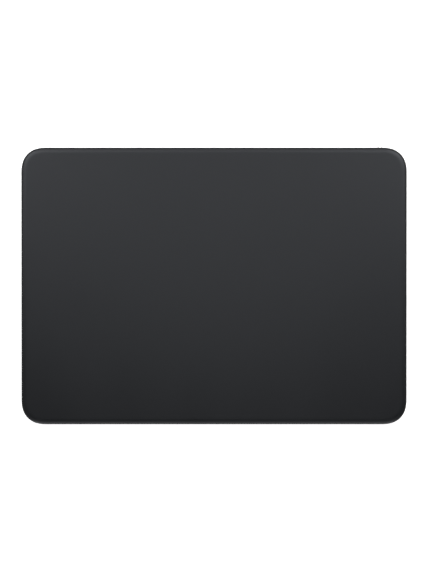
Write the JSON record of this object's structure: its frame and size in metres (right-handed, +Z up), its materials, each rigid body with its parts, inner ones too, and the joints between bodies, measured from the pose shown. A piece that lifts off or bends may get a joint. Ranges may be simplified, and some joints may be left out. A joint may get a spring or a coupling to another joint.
{
  "type": "trackpad",
  "caption": "Low wedge-shaped desktop trackpad: black satin glass top on a slim metal case, force-sensing feet, sliding power switch and charging port at the rear.",
  "frame": {"origin": "on the desk, in the middle of the footprint", "axes": "+X to the user's right, +Y to the rear (thick) edge, +Z up"},
  "size_m": [0.16, 0.1151, 0.0109],
  "materials": {
    "anodised_aluminium": "fine satin, black anodised",
    "satin_glass": "satin black etched glass",
    "foam_tape": "matte",
    "bond_film": "clear glue film",
    "circuit_board": "solder mask",
    "chip_plastic": "matte",
    "ribbon_film": "satin film over copper",
    "elastomer": "matte",
    "steel": "satin",
    "spring_steel": "satin",
    "screw_steel": "dark plated",
    "gauge_film": "satin film",
    "iron_core": "satin",
    "copper_wire": "enamelled winding",
    "tungsten": "satin",
    "magnet_plating": "nickel plated",
    "pouch_foil": "satin foil",
    "glue_tape": "matte",
    "shield_metal": "satin",
    "socket_plastic": "matte",
    "port_steel": "satin",
    "port_plastic": "matte",
    "gold_contact": "gold plated",
    "antenna_plastic": "matte",
    "copper_foil": "satin foil",
    "switch_plastic": "satin"
  },
  "bodies": {
    "case": {"lower_case": "anodised_aluminium", "top_glass": "satin_glass", "glass_adhesive": "foam_tape", "sensor_bond_film": "bond_film", "touch_sensor_board": "circuit_board", "touch_controller_chips": "chip_plastic", "touch_flex": "ribbon_film", "strain_gauges": "gauge_film", "flexure_screws": "screw_steel", "sensor_flex_left": "ribbon_film", "sensor_flex_right": "ribbon_film", "haptic_base_frame": "steel", "haptic_core": "iron_core", "haptic_coils": "copper_wire", "leaf_spring_left": "spring_steel", "leaf_spring_right": "spring_steel", "haptic_screws": "screw_steel", "haptic_flex": "ribbon_film", "battery_cell": "pouch_foil", "battery_adhesive": "glue_tape", "battery_protection_board": "circuit_board", "battery_lead": "ribbon_film", "logic_board": "circuit_board", "shield_cans": "shield_metal", "board_chips": "chip_plastic", "board_connectors": "socket_plastic", "board_screws": "screw_steel", "port_shell": "port_steel", "port_tongue": "port_plastic", "port_contacts": "gold_contact", "port_bracket": "steel", "port_screws": "screw_steel", "antenna_carrier": "antenna_plastic", "antenna_element": "copper_foil", "antenna_flex": "ribbon_film", "power_switch_housing": "switch_plastic", "switch_board": "circuit_board", "switch_screws": "screw_steel", "switch_flex": "ribbon_film", "flexure_front_left": "spring_steel", "flexure_front_right": "spring_steel", "flexure_rear_left": "spring_steel", "flexure_rear_right": "spring_steel"},
    "power_switch": {"power_switch_knob": "switch_plastic"},
    "haptic_weight": {"haptic_mass": "tungsten", "haptic_magnets": "magnet_plating"},
    "foot_front_left": {"foot_pad_front_left": "elastomer", "foot_carrier_front_left": "steel", "foot_screw_front_left": "screw_steel"},
    "foot_front_right": {"foot_pad_front_right": "elastomer", "foot_carrier_front_right": "steel", "foot_screw_front_right": "screw_steel"},
    "foot_rear_left": {"foot_pad_rear_left": "elastomer", "foot_carrier_rear_left": "steel", "foot_screw_rear_left": "screw_steel"},
    "foot_rear_right": {"foot_pad_rear_right": "elastomer", "foot_carrier_rear_right": "steel", "foot_screw_rear_right": "screw_steel"}
  },
  "joints": [
    {"name": "power_switch_slide", "type": "slide", "parent": "case", "child": "power_switch", "axis": [-1, 0, 0], "range_m": [0, 0.0028]},
    {"name": "haptic_weight_slide", "type": "slide", "parent": "case", "child": "haptic_weight", "axis": [1, 0, 0], "range_m": [-0.0003, 0.0003], "stiffness_N_per_m": 9000, "deforming": ["leaf_spring_left", "leaf_spring_right"]},
    {"name": "foot_press_front_left", "type": "slide", "parent": "case", "child": "foot_front_left", "axis": [0, 0, 1], "range_m": [0, 0.0002], "stiffness_N_per_m": 10000, "deforming": ["flexure_front_left"]},
    {"name": "foot_press_front_right", "type": "slide", "parent": "case", "child": "foot_front_right", "axis": [0, 0, 1], "range_m": [0, 0.0002], "stiffness_N_per_m": 10000, "deforming": ["flexure_front_right"]},
    {"name": "foot_press_rear_left", "type": "slide", "parent": "case", "child": "foot_rear_left", "axis": [0, 0, 1], "range_m": [0, 0.0002], "stiffness_N_per_m": 10000, "deforming": ["flexure_rear_left"]},
    {"name": "foot_press_rear_right", "type": "slide", "parent": "case", "child": "foot_rear_right", "axis": [0, 0, 1], "range_m": [0, 0.0002], "stiffness_N_per_m": 10000, "deforming": ["flexure_rear_right"]}
  ]
}
